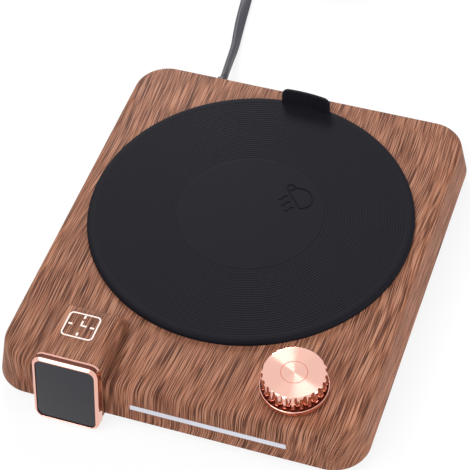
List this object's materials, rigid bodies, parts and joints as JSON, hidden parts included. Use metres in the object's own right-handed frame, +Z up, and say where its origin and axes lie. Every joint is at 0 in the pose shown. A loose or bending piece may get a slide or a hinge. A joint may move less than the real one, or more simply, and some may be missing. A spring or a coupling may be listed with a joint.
{
  "type": "jar and cup warming plate",
  "caption": "Flat wood-grain warming plate with a ringed silicone mat, fluted press knob, upright display pod, light bar and flat mains lead.",
  "frame": {"origin": "middle of the housing in plan, on the table under the feet", "axes": "+Z up, -Y to the front where the display and the light bar face, +X to the knob's side"},
  "size_m": [0.1554, 0.3628, 0.0344],
  "materials": {
    "wood_grain_shell": "wood-grain film under a satin lacquer",
    "dark_moulding": "fine matt moulding",
    "black_rubber": "matt",
    "black_silicone": "matt with pressed rings",
    "zinc_steel": "zinc plated",
    "bare_aluminium": "turned",
    "heating_film": "polyimide film with an etched foil",
    "felt_pad": "needled fibre",
    "rose_metal": "rose-gold plating, spun top",
    "rose_bezel": "rose-gold plating, polished",
    "encoder_plastic": "glass-filled moulding",
    "board_green": "solder mask",
    "winding_tape": "yellow tape",
    "part_black": "moulded case",
    "white_nylon": "moulded",
    "dark_lens": "smoked, polished",
    "copper_foil": "foil",
    "milky_plastic": "translucent",
    "wire_sleeve": "silicone sleeve",
    "cord_sheath": "matt extrusion",
    "blade_brass": "bright"
  },
  "bodies": {
    "housing": {"top_housing": "wood_grain_shell", "base_cover": "dark_moulding", "cord_gland": "dark_moulding", "rubber_feet": "black_rubber", "base_screws": "zinc_steel", "shield_screws": "zinc_steel", "board_screws": "zinc_steel", "heat_shield": "zinc_steel", "encoder_washer": "zinc_steel", "encoder_nut": "zinc_steel", "fuse_clip": "zinc_steel", "thermal_fuse": "zinc_steel", "switch_dome": "zinc_steel", "heating_plate": "bare_aluminium", "temperature_sensor": "bare_aluminium", "heating_element": "heating_film", "insulation_pad": "felt_pad", "display_bezel": "rose_bezel", "encoder_body": "encoder_plastic", "encoder_base": "encoder_plastic", "control_board": "board_green", "display_board": "board_green", "light_board": "board_green", "transformer": "winding_tape", "relay": "part_black", "buzzer": "part_black", "terminal_block": "white_nylon", "display_module": "white_nylon", "display_lens": "dark_lens", "touch_pad": "copper_foil", "light_diffuser": "milky_plastic", "light_leds": "milky_plastic", "supply_leads": "wire_sleeve", "heater_leads": "wire_sleeve", "sensor_lead": "wire_sleeve", "power_cord": "cord_sheath", "cord_coil": "cord_sheath", "cord_tie": "cord_sheath", "plug_body": "cord_sheath", "plug_blades": "blade_brass"},
    "rotor": {"encoder_rotor": "encoder_plastic"},
    "knob": {"knob_cap": "rose_metal", "knob_core": "dark_moulding", "encoder_shaft": "zinc_steel"},
    "mat": {"silicone_mat": "black_silicone"}
  },
  "joints": [
    {"name": "knob_turn", "type": "hinge", "parent": "housing", "child": "rotor", "pos_m": [0.045, -0.0693, 0.0227], "axis": [0, 0, 1], "continuous": true},
    {"name": "knob_press", "type": "slide", "parent": "rotor", "child": "knob", "axis": [0, 0, -1], "range_m": [0, 0.0005], "stiffness_N_per_m": 3000, "springref_m": -0.0005},
    {"name": "mat_lift", "type": "slide", "parent": "housing", "child": "mat", "axis": [0, 0, 1], "range_m": [0, 0.04]}
  ]
}
